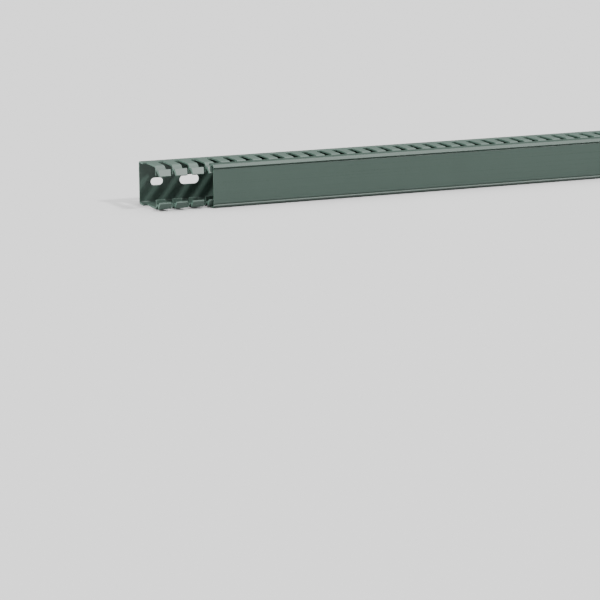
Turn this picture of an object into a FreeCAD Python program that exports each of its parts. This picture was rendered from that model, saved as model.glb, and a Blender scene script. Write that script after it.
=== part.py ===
"""Slotted wire duct: a punched channel with two rows of T-headed fingers, and its snap cover.

X runs along the duct, +Y points out of the back face that is screwed to a panel, and +Z is up.
The duct lies on one of its slotted sides. The origin is the middle of the back face.
"""
import FreeCAD, Part
import math
import os

from FreeCAD import Vector

# Stock and overall section
duct_length = 500.0
duct_width = 31.5
duct_depth = 40.0
wall_thickness = 1.2
base_thickness = 1.2
back_corner_radius = 2.0

# Punching of the side walls, the same in both sides
slot_pitch = 12.5
slot_width = 5.5
slot_start_depth = 9.0
slot_end_steps = 6
first_slot_offset = 0.9
head_gap = 2.5
head_gap_at_tip = 4.3
head_step = 0.4

# Finger profile, from the flat wall through the curved neck to the sloping head
neck_radius = 6.0
neck_turn = 50.0
neck_slant = 0.9
neck_floor_length = 5.8
head_thickness = 1.4
head_height = 4.45
head_lean = 2.5
head_land = 0.5
rib_before_head = 8.7
rib_thickness = 1.2
rib_reach = 7.0

# Fixing holes in the base
small_hole_length = 9.5
small_hole_width = 5.5
large_hole_length = 15.0
large_hole_width = 7.0
pitches_between_holes = 2

# Cover
cover_length = 500.0
cover_thickness = 1.2
cover_setback = 43.0
cover_leg_length = 10.0
bevel_depth = 2.0
bevel_height = 2.0
panel_recess = 0.5
latch_bead_radius = 0.7

# Clearances between the cover and the channel
side_clearance = 0.25
front_clearance = 0.3
latch_clearance = 0.35

# Worked out from the sizes above
half_length = duct_length / 2
half_width = duct_width / 2
panel_inner_depth = duct_depth - panel_recess - cover_thickness
head_tip_depth = panel_inner_depth - front_clearance
apex_inset = cover_thickness + side_clearance
apex_rear_depth = head_tip_depth - head_lean - head_land
latch_bead_depth = apex_rear_depth - latch_clearance - latch_bead_radius
neck_angle = math.radians(neck_turn)
neck_run = neck_radius * math.sin(neck_angle) + neck_slant * math.cos(neck_angle)
neck_drop = neck_radius * (1 - math.cos(neck_angle)) + neck_slant * math.sin(neck_angle)
shoulder_depth = apex_rear_depth - neck_floor_length - neck_run
rib_depth = apex_rear_depth - rib_before_head
cut_margin = 1.0


def section_point(depth, inset, side):
    """A point of the cross-section: depth from the back face, inset from the outer side face."""
    return Vector(0, -depth, side * (half_width - inset))


def polygon_face(points):
    """A flat face with straight sides."""
    return Part.Face(Part.makePolygon(points + [points[0]]))


def line(start, end):
    return Part.LineSegment(start, end).toShape()


def arc(start, middle, end):
    return Part.Arc(start, middle, end).toShape()


def bend_point(radius, share, side):
    """A point on the shoulder's bend, at a share of its whole turn."""
    depth = shoulder_depth + radius * math.sin(neck_angle * share)
    inset = neck_radius - radius * math.cos(neck_angle * share)
    return section_point(depth, inset, side)


def floor_point(offset, side):
    """Where the slant behind the shoulder meets the floor behind the head."""
    lag = offset * math.tan(neck_angle / 2)
    return section_point(shoulder_depth + neck_run - lag, neck_drop + offset, side)


def outer_edges(side):
    """Edges of the finger's outer face: flat wall, round shoulder, slant and the floor behind the head."""
    start = section_point(slot_start_depth, 0, side)
    first, middle, last = (bend_point(neck_radius, share, side) for share in (0, 0.5, 1))
    corner = floor_point(0, side)
    end = section_point(apex_rear_depth, neck_drop, side)
    return [line(start, first), arc(first, middle, last), line(last, corner), line(corner, end)]


def inner_edges(side):
    """Edges of the finger's inner face, with two flats inside the round shoulder."""
    radius = neck_radius - wall_thickness
    points = [section_point(slot_start_depth, wall_thickness, side)]
    points += [bend_point(radius, share, side) for share in (0, 0.5, 1)]
    points.append(floor_point(wall_thickness, side))
    points.append(section_point(apex_rear_depth, neck_drop + wall_thickness, side))
    return [line(start, end) for start, end in zip(points, points[1:])]


def neck_face(side):
    """The finger's wall from the slot's closed end to the head, as one strip of even thickness."""
    outer = outer_edges(side)
    inner = inner_edges(side)
    front = line(outer[-1].Vertexes[-1].Point, inner[-1].Vertexes[-1].Point)
    back = line(inner[0].Vertexes[0].Point, outer[0].Vertexes[0].Point)
    return Part.Face(Part.Wire(Part.__sortEdges__(outer + inner + [front, back])))


def head_face(side):
    """The sloping head: a land over the retaining face, a ramp for the cover and a square tip."""
    floor = neck_drop + wall_thickness
    ramp = math.hypot(head_lean, head_height)
    along = Vector(head_lean / ramp, head_height / ramp, 0)
    tip = (head_tip_depth, apex_inset + head_height)
    tip_inner = (tip[0] - head_thickness * along.y, tip[1] + head_thickness * along.x)
    back_run = (tip_inner[1] - floor) / along.y
    root = (tip_inner[0] - back_run * along.x, floor)
    corners = [(apex_rear_depth, floor), (apex_rear_depth, apex_inset),
               (apex_rear_depth + head_land, apex_inset), tip, tip_inner, root]
    return polygon_face([section_point(depth, inset, side) for depth, inset in corners])


def rib_face(side):
    """The perpendicular rib inside each finger, which runs up into the curved neck."""
    outline = polygon_face([section_point(rib_depth, 0, side),
                            section_point(rib_depth + rib_thickness, 0, side),
                            section_point(rib_depth + rib_thickness, rib_reach, side),
                            section_point(rib_depth, rib_reach, side)])
    outer = outer_edges(side)
    first = outer[0].Vertexes[0].Point
    last = outer[-1].Vertexes[-1].Point
    deep_last = section_point(apex_rear_depth, neck_drop + rib_reach, side)
    deep_first = section_point(slot_start_depth, neck_drop + rib_reach, side)
    closing = [line(last, deep_last), line(deep_last, deep_first), line(deep_first, first)]
    envelope = Part.Face(Part.Wire(Part.__sortEdges__(outer + closing)))
    return outline.common(envelope)


def corner_arc(depth, inset, radius, side):
    """A quarter-round back corner, from the base to the side wall."""
    diagonal = radius * (1 - math.sqrt(0.5))
    return arc(section_point(depth, inset + radius, side),
               section_point(depth + diagonal, inset + diagonal, side),
               section_point(depth + radius, inset, side))


def back_face():
    """The base and the whole part of both side walls, with rounded back corners."""
    inner_radius = max(back_corner_radius - wall_thickness, wall_thickness / 4)
    edges = []
    for side in (1, -1):
        edges.append(corner_arc(0, 0, back_corner_radius, side))
        edges.append(corner_arc(base_thickness, wall_thickness, inner_radius, side))
        edges.append(line(section_point(back_corner_radius, 0, side),
                          section_point(slot_start_depth, 0, side)))
        edges.append(line(section_point(base_thickness + inner_radius, wall_thickness, side),
                          section_point(slot_start_depth, wall_thickness, side)))
        edges.append(line(section_point(slot_start_depth, 0, side),
                          section_point(slot_start_depth, wall_thickness, side)))
    edges.append(line(section_point(0, back_corner_radius, 1), section_point(0, back_corner_radius, -1)))
    edges.append(line(section_point(base_thickness, wall_thickness + inner_radius, 1),
                      section_point(base_thickness, wall_thickness + inner_radius, -1)))
    return Part.Face(Part.Wire(Part.__sortEdges__(edges)))


def extruded(face, start, length):
    """A length of the given section, along the duct."""
    solid = face.extrude(Vector(length, 0, 0))
    solid.translate(Vector(start, 0, 0))
    return solid


def slot_positions():
    """Slot centres along the duct, with the cut slots at its ends."""
    count = int(math.floor((duct_length + slot_width / 2 - first_slot_offset) / slot_pitch)) + 1
    return [first_slot_offset + slot_pitch * number - half_length for number in range(count)]


def slot_cutter(centre):
    """One slot through both sides: a rounded closed end, a straight run and the gap at the heads."""
    half_slot = slot_width / 2
    half_gap = head_gap / 2
    half_tip_gap = head_gap_at_tip / 2
    step_depth = apex_rear_depth - head_step
    mouth_depth = duct_depth + cut_margin
    taper = (half_tip_gap - half_gap) / (head_tip_depth - step_depth)
    half_mouth = half_gap + taper * (mouth_depth - step_depth)
    turns = [math.pi * step / slot_end_steps for step in range(slot_end_steps + 1)]
    closed_end = [(-half_slot * math.cos(turn), slot_start_depth + half_slot * (1 - math.sin(turn)))
                  for turn in turns]
    mouth = [(half_slot, step_depth), (half_gap, step_depth), (half_mouth, mouth_depth),
             (-half_mouth, mouth_depth), (-half_gap, step_depth), (-half_slot, step_depth)]
    outline = polygon_face([Vector(centre + across, -depth, -half_width - cut_margin)
                            for across, depth in closed_end + mouth])
    return outline.extrude(Vector(0, 0, duct_width + 2 * cut_margin))


def hole_cutter(centre, length, width):
    """A fixing hole with round ends through the base, long way along the duct."""
    radius = width / 2
    run = (length - width) / 2

    def plan(across, up):
        return Vector(centre + across, cut_margin, up)

    edges = [line(plan(-run, radius), plan(run, radius)),
             arc(plan(run, radius), plan(run + radius, 0), plan(run, -radius)),
             line(plan(run, -radius), plan(-run, -radius)),
             arc(plan(-run, -radius), plan(-run - radius, 0), plan(-run, radius))]
    return Part.Face(Part.Wire(edges)).extrude(Vector(0, -base_thickness - 2 * cut_margin, 0))


def hole_cutters(positions):
    """Small and large fixing holes in turn, in line with every second slot."""
    centres = positions[1::pitches_between_holes]
    cutters = [hole_cutter(centre, small_hole_length, small_hole_width) for centre in centres[0::2]]
    cutters += [hole_cutter(centre, large_hole_length, large_hole_width) for centre in centres[1::2]]
    return cutters


def slotted_channel():
    """The channel: one extruded section, punched through both sides and the base."""
    faces = [face(side) for side in (1, -1) for face in (neck_face, rib_face, head_face)]
    strips = [extruded(face, -half_length, duct_length) for face in faces]
    blank = extruded(back_face(), -half_length, duct_length).fuse(strips).removeSplitter()
    positions = slot_positions()
    cutters = [slot_cutter(centre) for centre in positions] + hole_cutters(positions)
    return blank.cut(cutters).removeSplitter()


def cover_section():
    """The cover's section: a recessed panel between two bevelled corners, and two legs with beads."""
    leg_rear_depth = duct_depth - cover_leg_length
    bevel_start_depth = duct_depth - bevel_depth
    ledge_inset = bevel_height + panel_recess
    setoff = cover_thickness * math.hypot(bevel_depth, bevel_height)
    corner_depth = bevel_start_depth + (cover_thickness * bevel_depth - setoff) / bevel_height
    corner_inset = ((panel_inner_depth - bevel_start_depth) * bevel_height + setoff) / bevel_depth
    edges = []
    for side in (1, -1):
        outline = [(leg_rear_depth, 0), (bevel_start_depth, 0), (duct_depth, bevel_height),
                   (duct_depth - panel_recess, ledge_inset)]
        inside = [(panel_inner_depth, corner_inset), (corner_depth, cover_thickness),
                  (latch_bead_depth + latch_bead_radius, cover_thickness)]
        tail = [(latch_bead_depth - latch_bead_radius, cover_thickness),
                (leg_rear_depth, cover_thickness), (leg_rear_depth, 0)]
        for run in (outline, inside, tail):
            points = [section_point(depth, inset, side) for depth, inset in run]
            edges += [line(start, end) for start, end in zip(points, points[1:])]
        edges.append(arc(section_point(latch_bead_depth + latch_bead_radius, cover_thickness, side),
                         section_point(latch_bead_depth, cover_thickness + latch_bead_radius, side),
                         section_point(latch_bead_depth - latch_bead_radius, cover_thickness, side)))
    edges.append(line(section_point(duct_depth - panel_recess, ledge_inset, 1),
                      section_point(duct_depth - panel_recess, ledge_inset, -1)))
    edges.append(line(section_point(panel_inner_depth, corner_inset, 1),
                      section_point(panel_inner_depth, corner_inset, -1)))
    return Part.Face(Part.Wire(Part.__sortEdges__(edges)))


def snap_cover():
    """The cover: one extruded section, set back from the channel's left end."""
    return extruded(cover_section(), cover_setback - half_length, cover_length)


def save(shape, node):
    solid = shape.Solids[0]
    print(node, len(shape.Solids), "solid", round(solid.Volume), "mm3", len(solid.Faces), "faces",
          "valid", shape.isValid())
    solid.exportStep("parts/" + node + ".step")


os.makedirs("parts", exist_ok=True)
save(slotted_channel(), "slotted_channel")
save(snap_cover(), "snap_cover")
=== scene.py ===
# %% [markdown]
# # A slotted wire duct, dressed for a product picture
# A slotted wire duct is a plastic channel that is screwed to the back plate of a control cabinet.
# Cables lie inside it and leave through the slots in its sides, and a cover snaps over its heads.
# The imported model is loaded first as a frame, and it fixes every size. It fixes every size, so
# nothing here may grow past it.

# %% Load the frame
import math

import bmesh
import bpy
from mathutils import Matrix, Vector


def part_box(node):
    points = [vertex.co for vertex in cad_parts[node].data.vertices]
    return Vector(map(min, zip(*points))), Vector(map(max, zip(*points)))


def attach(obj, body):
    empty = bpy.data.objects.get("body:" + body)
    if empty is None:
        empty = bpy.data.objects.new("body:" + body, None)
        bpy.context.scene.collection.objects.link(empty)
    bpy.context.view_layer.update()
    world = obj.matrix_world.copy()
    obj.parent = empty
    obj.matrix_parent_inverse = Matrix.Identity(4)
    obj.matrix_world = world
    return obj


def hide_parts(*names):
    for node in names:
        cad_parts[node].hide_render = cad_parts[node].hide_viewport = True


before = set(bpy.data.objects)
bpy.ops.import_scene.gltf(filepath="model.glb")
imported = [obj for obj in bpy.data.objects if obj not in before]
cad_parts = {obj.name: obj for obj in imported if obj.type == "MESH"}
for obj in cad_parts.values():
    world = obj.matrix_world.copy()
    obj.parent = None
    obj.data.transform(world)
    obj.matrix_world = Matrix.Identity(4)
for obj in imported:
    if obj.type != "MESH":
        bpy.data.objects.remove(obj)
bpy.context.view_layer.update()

MM = 0.001
channel_low, channel_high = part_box("slotted_channel")
cover_low, cover_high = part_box("snap_cover")
print("channel", [round(size / MM, 2) for size in channel_high - channel_low], "mm")
print("cover", [round(size / MM, 2) for size in cover_high - cover_low], "mm")

# %% [markdown]
# ## How the cross-section is drawn
# Both pieces are extruded, so each is one outline pushed along X. A point of the outline is given
# as its depth from the back face and its inset from the outer side face, in millimetres, because a
# maker's drawing of such a profile gives them too. The frame gives the length, width and depth.
# The outline of the upper half is drawn once and turned over for the lower half. Each arc is a few
# straight steps, as many as it needs to look round.

# %% Sizes of the section
half_width = channel_high.z / MM
duct_depth = -cover_low.y / MM
head_tip_depth = -channel_low.y / MM
wall = 1.2
back_radius = 2.0
inner_radius = 0.8
neck_radius = 6.0
neck_turn = math.radians(50)
neck_slant = 0.9
neck_floor = 5.8
head_thickness = 1.4
head_height = 4.45
head_lean = 2.5
head_land = 0.5
head_inset = wall + 0.25
rib_before_head = 8.7
rib_reach = 7.0
shoulder_steps = 8
back_corner_steps = 6
inner_corner_steps = 3
steps_before_rib = 1
steps_after_rib = 4

head_back_depth = head_tip_depth - head_lean - head_land
neck_run = neck_radius * math.sin(neck_turn) + neck_slant * math.cos(neck_turn)
neck_drop = neck_radius * (1 - math.cos(neck_turn)) + neck_slant * math.sin(neck_turn)
shoulder_depth = head_back_depth - neck_floor - neck_run
rib_depth = head_back_depth - rib_before_head
print("shoulder starts", round(shoulder_depth, 2), "mm from the back, and drops", round(neck_drop, 2), "mm")


def round_stretch(depth, inset, radius, start, end, steps):
    """Points on an arc about (depth, inset), from one angle to another."""
    turns = [start + (end - start) * step / steps for step in range(steps + 1)]
    return [(depth + radius * math.sin(turn), inset - radius * math.cos(turn)) for turn in turns]


# %% [markdown]
# ## The outline of the channel
# From the back corner the outer face runs flat, bends inwards over a round shoulder and goes on as
# the floor of a groove. The T-shaped head stands on that floor: a short face that holds the cover's
# bead, and a sloping face that spreads the cover's legs when it is pressed on. The inner face
# follows at wall thickness, and a rib stands up from it where the shoulder bends.
# A list of points from arcs and sums keeps this readable, where a traced curve would not.

# %% Outline of the channel
def finger_outer():
    shoulder = round_stretch(shoulder_depth, neck_radius, neck_radius, 0, neck_turn, shoulder_steps)
    corner = round_stretch(back_radius, back_radius, back_radius, -math.pi / 2, 0, back_corner_steps)
    groove = [(shoulder_depth + neck_run, neck_drop), (head_back_depth, neck_drop)]
    return corner + shoulder + groove


def finger_head():
    slope = math.hypot(head_lean, head_height)
    lean, rise = head_lean / slope, head_height / slope
    tip = (head_tip_depth, head_inset + head_height)
    tip_inner = (tip[0] - head_thickness * rise, tip[1] + head_thickness * lean)
    drop = (tip_inner[1] - neck_drop - wall) / rise
    root = (tip_inner[0] - drop * lean, neck_drop + wall)
    return [(head_back_depth, head_inset), (head_back_depth + head_land, head_inset), tip, tip_inner, root]


def finger_inner():
    radius = neck_radius - wall
    rib_front, rib_back = [math.asin((rib_depth + side - shoulder_depth) / radius) for side in (wall, 0)]
    groove = [(shoulder_depth + neck_run - wall * math.tan(neck_turn / 2), neck_drop + wall)]
    before = round_stretch(shoulder_depth, neck_radius, radius, neck_turn, rib_front, steps_before_rib)
    rib = [(rib_depth + wall, rib_reach), (rib_depth, rib_reach)]
    after = round_stretch(shoulder_depth, neck_radius, radius, rib_back, 0, steps_after_rib)
    centre = wall + inner_radius
    corner = round_stretch(centre, centre, inner_radius, 0, -math.pi / 2, inner_corner_steps)
    return groove + before + rib + after + corner


def both_halves(upper):
    """Points (y, z) of the whole outline in metres, from the upper half's (depth, inset) points."""
    top = [(-depth * MM, (half_width - inset) * MM) for depth, inset in upper]
    return top + [(y, -z) for y, z in reversed(top)]


channel_outline = both_halves(finger_outer() + finger_head() + finger_inner())
print("channel outline:", len(channel_outline), "points")

# %% [markdown]
# ## The outline of the cover
# The cover is a flat panel, set back by half a millimetre between two bevelled corners, with two
# legs that lie flush with the channel's sides. A half-round bead inside each leg snaps behind the
# heads. A fine groove with one slanted side parts the panel from each bevel: along the upper edge
# it lies in the shade and draws a dark line, and along the lower edge the slant faces up and shines.

# %% Outline of the cover
bevel = 2.0
panel_recess = 0.5
panel_inner_depth = duct_depth - panel_recess - wall
leg_length = 10.0
bead_radius = 0.7
bead_steps = 6
latch_gap = 0.35
bead_depth = head_back_depth - latch_gap - bead_radius
bevel_setoff = wall * (math.sqrt(2) - 1)
slant = 0.9
groove_width = 0.4
groove_depth = 0.7


def cover_half():
    panel_depth = duct_depth - panel_recess
    groove_floor = panel_depth - groove_depth
    near, far = bevel + slant, bevel + slant + groove_width
    groove = [(panel_depth, far), (groove_floor, far), (groove_floor, near), (duct_depth - slant, near)]
    outside = groove + [(duct_depth, bevel), (duct_depth - bevel, 0),
                        (duct_depth - leg_length, 0), (duct_depth - leg_length, wall)]
    turns = [math.pi * step / bead_steps for step in range(bead_steps + 1)]
    bead = [(bead_depth - bead_radius * math.cos(turn), wall + bead_radius * math.sin(turn))
            for turn in turns]
    corner_inset = panel_inner_depth - duct_depth + bevel + wall * math.sqrt(2)
    inside = [(duct_depth - bevel - bevel_setoff, wall), (panel_inner_depth, corner_inset)]
    return outside + bead + inside


cover_outline = both_halves(cover_half())
print("cover outline:", len(cover_outline), "points")

# %% [markdown]
# ## From an outline to a length of profile
# Extrusion in the workshop is extrusion here: the outline becomes one face at the left end, and
# `bmesh` pushes it along X. The normals are recalculated once, so that they point outwards.

# %% Extrude a profile
def extrude_profile(name, outline, start, end):
    mesh = bpy.data.meshes.new(name)
    shape = bmesh.new()
    ring = [shape.verts.new((start, y, z)) for y, z in outline]
    face = shape.faces.new(ring)
    pushed = bmesh.ops.extrude_face_region(shape, geom=[face])
    moved = [item for item in pushed["geom"] if isinstance(item, bmesh.types.BMVert)]
    bmesh.ops.translate(shape, verts=moved, vec=(end - start, 0, 0))
    bmesh.ops.recalc_face_normals(shape, faces=shape.faces)
    shape.to_mesh(mesh)
    shape.free()
    piece = bpy.data.objects.new(name, mesh)
    bpy.context.scene.collection.objects.link(piece)
    return piece


channel = extrude_profile("channel", channel_outline, channel_low.x, channel_high.x)
cover = extrude_profile("cover", cover_outline, cover_low.x, cover_high.x)
print("extruded", channel.name, "and", cover.name)

# %% [markdown]
# ## The shape of each punch
# A press cuts the slots and the fixing holes after the extrusion. One stroke cuts the same slot
# through both sides: a round closed end, a straight run, and a narrower gap between the heads
# that widens a little towards their tips. The base gets oval holes, a small and a large in turn.
# Each punch is modelled once, at X = 0, as a solid that reaches past what it cuts. Sizes and plans
# are in millimetres, and the solid is made in metres.

# %% Make the punches
slot_width = 5.5
slot_start = 9.0
head_gap = 2.5
head_gap_at_tip = 4.3
head_step = 0.4
small_hole = (9.5, 5.5)
large_hole = (15.0, 7.0)
slot_end_steps = 14
hole_end_steps = 12
past = 1.0


def slot_plan():
    half = slot_width / 2
    step_depth = head_back_depth - head_step
    mouth = duct_depth + past
    widening = (head_gap_at_tip - head_gap) / 2 / (head_tip_depth - step_depth)
    half_mouth = head_gap / 2 + widening * (mouth - step_depth)
    turns = [math.pi * step / slot_end_steps for step in range(slot_end_steps + 1)]
    closed = [(-half * math.cos(turn), slot_start + half * (1 - math.sin(turn))) for turn in turns]
    right = [(half, step_depth), (head_gap / 2, step_depth), (half_mouth, mouth)]
    return closed + right + [(-across, depth) for across, depth in reversed(right)]


def oval_plan(length, width):
    radius = width / 2
    run = length / 2 - radius
    turns = [math.pi * (step / hole_end_steps - 0.5) for step in range(hole_end_steps + 1)]
    right = [(run + radius * math.cos(turn), radius * math.sin(turn)) for turn in turns]
    return right + [(-across, -up) for across, up in right]


def punch(name, corners, push):
    """A solid from a closed plan of points in mm, pushed by a vector in mm."""
    mesh = bpy.data.meshes.new(name)
    shape = bmesh.new()
    face = shape.faces.new([shape.verts.new(Vector(corner) * MM) for corner in corners])
    pushed = bmesh.ops.extrude_face_region(shape, geom=[face])
    moved = [item for item in pushed["geom"] if isinstance(item, bmesh.types.BMVert)]
    bmesh.ops.translate(shape, verts=moved, vec=Vector(push) * MM)
    bmesh.ops.recalc_face_normals(shape, faces=shape.faces)
    shape.to_mesh(mesh)
    shape.free()
    return bpy.data.objects.new(name, mesh)


def hole_punch(name, size):
    return punch(name, [(across, past, up) for across, up in oval_plan(*size)], (0, -wall - 2 * past, 0))


slot_bottom = -half_width - past
slot_corners = [(across, -depth, slot_bottom) for across, depth in slot_plan()]
slot_punch = punch("slot_punch", slot_corners, (0, 0, -2 * slot_bottom))
small_punch = hole_punch("small_punch", small_hole)
large_punch = hole_punch("large_punch", large_hole)
for made in (slot_punch, small_punch, large_punch):
    print(made.name, "has", len(made.data.polygons), "faces")

# %% [markdown]
# ## A press built from Geometry Nodes
# The pitch of the slots never changes, so Geometry Nodes are the press: a Mesh Line sets one point
# for each stroke, Instance on Points puts the punch there, and a Mesh Boolean takes it all away
# from the profile. The distance to the first stroke, the pitch and the count are named inputs,
# so a duct with another punching is three numbers away. The same tree punches slots and holes.

# %% Build the press
def press_tree():
    tree = bpy.data.node_groups.new("press", "GeometryNodeTree")
    face = tree.interface
    face.new_socket("Profile", in_out="INPUT", socket_type="NodeSocketGeometry")
    face.new_socket("Punch", in_out="INPUT", socket_type="NodeSocketObject")
    face.new_socket("First stroke", in_out="INPUT", socket_type="NodeSocketFloat")
    face.new_socket("Pitch", in_out="INPUT", socket_type="NodeSocketFloat")
    face.new_socket("Strokes", in_out="INPUT", socket_type="NodeSocketInt")
    face.new_socket("Plastic", in_out="INPUT", socket_type="NodeSocketMaterial")
    face.new_socket("Punched", in_out="OUTPUT", socket_type="NodeSocketGeometry")

    def node(kind, **settings):
        made = tree.nodes.new(kind)
        for setting, value in settings.items():
            setattr(made, setting, value)
        return made

    def join(output, target):
        tree.links.new(output, target)

    given = node("NodeGroupInput").outputs
    start = node("ShaderNodeCombineXYZ")
    step = node("ShaderNodeCombineXYZ")
    line = node("GeometryNodeMeshLine", mode="OFFSET")
    tool = node("GeometryNodeObjectInfo")
    placed = node("GeometryNodeInstanceOnPoints")
    solid = node("GeometryNodeRealizeInstances")
    cut = node("GeometryNodeMeshBoolean", operation="DIFFERENCE", solver="EXACT")
    real = node("GeometryNodeRealizeInstances")
    finish = node("GeometryNodeSetMaterial")
    result = node("NodeGroupOutput").inputs
    join(given["First stroke"], start.inputs["X"])
    join(given["Pitch"], step.inputs["X"])
    join(given["Strokes"], line.inputs["Count"])
    join(start.outputs["Vector"], line.inputs["Start Location"])
    join(step.outputs["Vector"], line.inputs["Offset"])
    join(given["Punch"], tool.inputs["Object"])
    join(line.outputs["Mesh"], placed.inputs["Points"])
    join(tool.outputs["Geometry"], placed.inputs["Instance"])
    join(placed.outputs["Instances"], solid.inputs["Geometry"])
    join(given["Profile"], cut.inputs["Mesh 1"])
    join(solid.outputs["Geometry"], cut.inputs["Mesh 2"])
    join(cut.outputs["Mesh"], real.inputs["Geometry"])
    join(real.outputs["Geometry"], finish.inputs["Geometry"])
    join(given["Plastic"], finish.inputs["Material"])
    join(finish.outputs["Geometry"], result["Punched"])
    return tree


press = press_tree()
print("press has", len(press.nodes), "nodes")

# %% [markdown]
# ## Sums on shader sockets
# A plastic's finish is mostly small sums: a little of this noise on top of that one. Written with
# nodes alone they are hard to read, so a small class wraps a socket, and the usual signs between
# two wrapped sockets add the Math nodes. Every other node comes from one method.

# %% Wrap a shader socket
class Wire:
    """A socket of a shader tree that sums can be written with."""

    def __init__(self, tree, socket=None):
        self.tree = tree
        self.socket = socket

    def node(self, kind, settings, inputs, output=0):
        """Any other node: its settings are set first, then its sockets' values or links."""
        made = self.tree.nodes.new(kind)
        for name, value in settings.items():
            setattr(made, name, value)
        for name, value in inputs.items():
            if isinstance(value, Wire):
                self.tree.links.new(value.socket, made.inputs[name])
            else:
                made.inputs[name].default_value = value
        return Wire(self.tree, made.outputs[output])

    def sum(self, operation, first, second):
        return self.node("ShaderNodeMath", {"operation": operation}, {0: first, 1: second})

    def __add__(self, other):
        return self.sum("ADD", self, other)

    def __sub__(self, other):
        return self.sum("SUBTRACT", self, other)

    def __rsub__(self, other):
        return self.sum("SUBTRACT", other, self)

    def __mul__(self, other):
        return self.sum("MULTIPLY", self, other)

    __radd__ = __add__
    __rmul__ = __mul__


def tint(colour, factor):
    return [min(factor * part, 1) for part in colour] + [1]


print("half grey, a tenth lighter:", [round(part, 2) for part in tint((0.5, 0.5, 0.5), 1.1)])

# %% [markdown]
# ## Rigid PVC, extruded and punched
# Wire duct is made of grey-green rigid PVC. The die leaves very faint lines along X and a satin
# skin, the colour is even to a few percent, and the edges that the punch leaves are duller than the
# skin. Their colour is paler, partly because cut PVC is paler and partly as painted light: it stands
# in for a lamp at the left end of the duct, on every face that looks along X. All of it is noise on
# Object coordinates: noise squeezed across the duct and stretched along it makes the lines, and the
# surface's own direction finds the punched edges, because only they and the sawn ends face along X.
# An image of plastic could not follow the cuts.

# %% Mix the plastic
line_scale = (5, 1500, 1500)
cloud_scale = 28.0
grain_scale = 2600.0
noise_low, noise_high = 0.3, 0.7
skin_spread = 0.05
facing_low, facing_high = 0.35, 0.8
# Faces along X take 3.2 times the colour: paler cut PVC, and painted light from the duct's left end.
punched_pale_and_painted_light = 3.2
punched_dullness = 0.15
gloss_spread = 0.06
skin_grain = 0.4
relief_strength = 0.07
relief_height = 0.05 * MM
shine = 0.38


def extruded_pvc(name, colour, roughness):
    material = bpy.data.materials.new(name)
    material.use_nodes = True
    wire = Wire(material.node_tree)
    place = wire.node("ShaderNodeTexCoord", {}, {}, "Object")
    facing = wire.node("ShaderNodeTexCoord", {}, {}, "Normal")
    stretched = wire.node("ShaderNodeMapping", {}, {"Vector": place, "Scale": line_scale})
    lines = wire.node("ShaderNodeTexNoise", {}, {"Vector": stretched, "Scale": 1.0, "Detail": 3.0})
    clouds = wire.node("ShaderNodeTexNoise", {}, {"Vector": place, "Scale": cloud_scale, "Detail": 2.0})
    grain = wire.node("ShaderNodeTexNoise", {}, {"Vector": place, "Scale": grain_scale, "Detail": 2.0})
    along = wire.node("ShaderNodeSeparateXYZ", {}, {"Vector": facing}, "X")
    punched = wire.node("ShaderNodeMapRange", {"interpolation_type": "SMOOTHSTEP"},
                        {"Value": along * along, "From Min": facing_low, "From Max": facing_high})
    shade = wire.node("ShaderNodeMapRange", {}, {"Value": 0.5 * lines + 0.5 * clouds,
                                                 "From Min": noise_low, "From Max": noise_high})
    skin = wire.node("ShaderNodeMix", {"data_type": "RGBA"},
                     {"Factor": shade, "A": tint(colour, 1 - skin_spread),
                      "B": tint(colour, 1 + skin_spread)}, "Result")
    # The faces along X get the paler colour: partly cut PVC, partly painted light in place of a lamp at the
    # left end.
    body = wire.node("ShaderNodeMix", {"data_type": "RGBA"},
                     {"Factor": punched, "A": skin, "B": tint(colour, punched_pale_and_painted_light)}, "Result")
    relief = wire.node("ShaderNodeBump", {}, {"Strength": relief_strength, "Distance": relief_height,
                                              "Height": lines + (skin_grain + punched) * grain})
    gloss = (gloss_spread * lines + gloss_spread * grain + punched_dullness * punched
             + (roughness - gloss_spread))
    surface = material.node_tree.nodes["Principled BSDF"].inputs
    surface["Specular IOR Level"].default_value = shine
    for source, target in ((body, "Base Color"), (relief, "Normal"), (gloss, "Roughness")):
        material.node_tree.links.new(source.socket, surface[target])
    return material


channel_pvc = extruded_pvc("channel_pvc", (0.039, 0.066, 0.053), 0.42)
# The cover is the same plastic about a fifth darker: painted shade that makes its front panel darker than
# the channel's lit sides. It is glossier too.
cover_pvc = extruded_pvc("cover_pvc", (0.032, 0.054, 0.043), 0.29)
print("plastics:", channel_pvc.name, cover_pvc.name)

# %% [markdown]
# ## Run the press
# Three passes punch the channel: the slots, the small holes and the large holes. A slot comes
# every 12.5 mm and the first one is sawn through at the left end. A hole stands in line with every
# second slot. Each pass is a modifier with the press in it, and its result becomes a plain mesh.
# A modifier's inputs are set by their identifiers, because their names are only labels.

# %% Punch the channel
slot_pitch = 12.5
first_slot_inside = 0.9
first_slot = channel_low.x / MM + first_slot_inside
slot_count = 41
hole_count = 10


def strike(piece, tool, first, pitch, count, plastic):
    modifier = piece.modifiers.new("press", "NODES")
    modifier.node_group = press
    given = {"Punch": tool, "First stroke": first * MM, "Pitch": pitch * MM,
             "Strokes": count, "Plastic": plastic}
    sockets = {item.name: item.identifier for item in press.interface.items_tree}
    for name, value in given.items():
        modifier[sockets[name]] = value
    made = bpy.data.meshes.new_from_object(piece.evaluated_get(bpy.context.evaluated_depsgraph_get()))
    piece.modifiers.remove(modifier)
    piece.data = made
    print(tool.name, count, "strokes:", len(made.polygons), "faces")


hole_pitch = 4 * slot_pitch
strike(channel, slot_punch, first_slot, slot_pitch, slot_count, channel_pvc)
strike(channel, small_punch, first_slot + slot_pitch, hole_pitch, hole_count, channel_pvc)
strike(channel, large_punch, first_slot + 3 * slot_pitch, hole_pitch, hole_count, channel_pvc)

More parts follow.
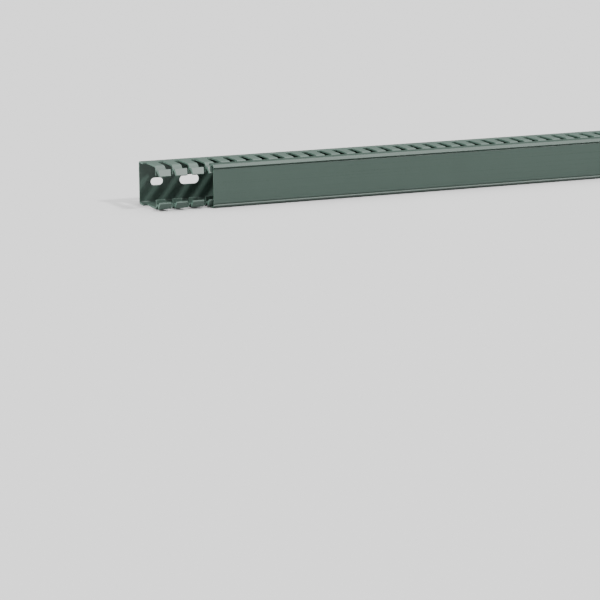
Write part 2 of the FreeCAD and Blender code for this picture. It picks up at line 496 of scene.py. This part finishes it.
# %% [markdown]
# ## Break the sharp edges
# No plastic edge is perfectly sharp, and a tiny round on it is what catches a line of light. A
# Bevel modifier rounds every edge that turns by more than 30 degrees, and leaves the arcs alone.
# Where a punch meets an arc it leaves edges of a tenth of a millimetre, and the modifier can't
# make a round wider than those, so points that close are merged first. The rounds could be drawn
# into the outlines instead, but then the punched edges would still be razor sharp.

# %% Round the edges
shortest_edge = 0.25
same_point = 0.002
flat_angle = math.radians(0.5)
sharp_angle = math.radians(30)
channel_round = 0.2
cover_round = 0.12


def soften(piece, width):
    shape = bmesh.new()
    shape.from_mesh(piece.data)
    bmesh.ops.remove_doubles(shape, verts=shape.verts, dist=same_point * MM)
    bmesh.ops.dissolve_limit(shape, angle_limit=flat_angle, verts=shape.verts, edges=shape.edges)
    bmesh.ops.remove_doubles(shape, verts=shape.verts, dist=shortest_edge * MM)
    shape.to_mesh(piece.data)
    shape.free()
    for face in piece.data.polygons:
        face.use_smooth = True
    rounding = piece.modifiers.new("rounding", "BEVEL")
    rounding.width = width * MM
    rounding.segments = 2
    rounding.limit_method = "ANGLE"
    rounding.angle_limit = sharp_angle
    rounding.harden_normals = True
    print(piece.name, "has rounds of up to", width, "mm")


cover.data.materials.append(cover_pvc)
soften(channel, channel_round)
soften(cover, cover_round)

# %% [markdown]
# ## Hand the pieces to the frame
# Each dressed piece rides on its body, takes the place of its CAD node and keeps that node's
# material slot, so the cover still slides along the channel when the joint moves.

# %% Join the frame
for piece, body, node, slot in ((channel, "channel", "slotted_channel", "channel_pvc"),
                                (cover, "cover", "snap_cover", "cover_pvc")):
    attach(piece, body)
    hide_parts(node)
    evaluated = piece.evaluated_get(bpy.context.evaluated_depsgraph_get()).to_mesh()
    evaluated.calc_loop_triangles()
    print(piece.name, len(evaluated.loop_triangles), "triangles")

# %% [markdown]
# ## Floor
# The duct lies on one slotted side on a pale studio floor, which reaches far enough to fill the
# picture from every side. It is lit strongly and is itself a middle grey, so that it looks pale
# and yet sends little light up into the duct.

# %% Floor
floor_half = 40.0
floor_grey = 0.44
floor_mesh = bpy.data.meshes.new("floor")
around = ((-1, -1), (1, -1), (1, 1), (-1, 1))
floor_corners = [(x * floor_half, y * floor_half, channel_low.z) for x, y in around]
floor_mesh.from_pydata(floor_corners, [], [(0, 1, 2, 3)])
floor = bpy.data.objects.new("floor", floor_mesh)
bpy.context.scene.collection.objects.link(floor)
paper = bpy.data.materials.new("paper")
paper.use_nodes = True
paper_surface = paper.node_tree.nodes["Principled BSDF"].inputs
paper_surface["Base Color"].default_value = (floor_grey, floor_grey, floor_grey, 1)
paper_surface["Roughness"].default_value = 0.9
floor_mesh.materials.append(paper)
print("floor at", round(channel_low.z / MM, 2), "mm")

# %% [markdown]
# ## Light
# One key light shines from high on the right in front of the duct, and its six degrees across make
# the edges of its shadows soft. It comes in through the upper row of slots and lays a slanting
# streak on the base for each of them. The surround is bright overhead and dark at the horizon, as
# under a large studio ceiling, so the upper side is lighter than the panel in front. The third
# power of the height makes that fall-off, and a flat grey surround would light the inside too much.

# %% Light
key_travel = Vector((-0.74, 0.82, -1))
ceiling_strength = 6.8
key_data = bpy.data.lights.new("key", "SUN")
key_data.energy = 4.0
key_data.angle = math.radians(6)
key = bpy.data.objects.new("key", key_data)
key.rotation_euler = key_travel.to_track_quat("-Z", "Y").to_euler()
bpy.context.scene.collection.objects.link(key)

surround = bpy.data.worlds.new("surround")
bpy.context.scene.world = surround
surround.use_nodes = True
sky = Wire(surround.node_tree)
direction = sky.node("ShaderNodeTexCoord", {}, {}, "Generated")
height = sky.node("ShaderNodeSeparateXYZ", {}, {"Vector": direction}, "Z")
ceiling = sky.node("ShaderNodeClamp", {}, {"Value": height})
brightness = ceiling_strength * ceiling * ceiling * ceiling
background = surround.node_tree.nodes["Background"].inputs
surround.node_tree.links.new(brightness.socket, background["Strength"])
background["Color"].default_value = (1, 1, 1, 1)
print("key", key_data.energy, "W/m2 from", [round(-part, 2) for part in key_travel.normalized()])

# %% [markdown]
# ## Camera
# The camera stands to the left in front of the duct and a little above it, so that the open end
# shows the heads, the slots and the base with its holes. Its place is measured in millimetres from
# the lower front corner of that end, along the camera's own right, up and back directions.

# %% Camera
camera_turn = math.radians(23.16)
camera_rise = math.radians(13.25)
camera_distance = 1403.1
camera_side = 101.03
camera_lift = -61.57
camera_lens = 118.8
near_corner = Vector((channel_low.x, cover_low.y, channel_low.z))
right = Vector((math.cos(camera_turn), -math.sin(camera_turn), 0))
back = Vector((-math.sin(camera_turn) * math.cos(camera_rise),
               -math.cos(camera_turn) * math.cos(camera_rise), math.sin(camera_rise)))
up = back.cross(right)
camera_data = bpy.data.cameras.new("camera")
camera_data.lens = camera_lens
camera_data.clip_start = 0.05
camera_data.clip_end = 200
camera = bpy.data.objects.new("camera", camera_data)
camera_place = near_corner + (right * camera_side + up * camera_lift + back * camera_distance) * MM
camera.matrix_world = Matrix.Translation(camera_place) @ Matrix((right, up, back)).transposed().to_4x4()
bpy.context.scene.collection.objects.link(camera)
bpy.context.scene.camera = camera
print("camera at", [round(part, 3) for part in camera.location])
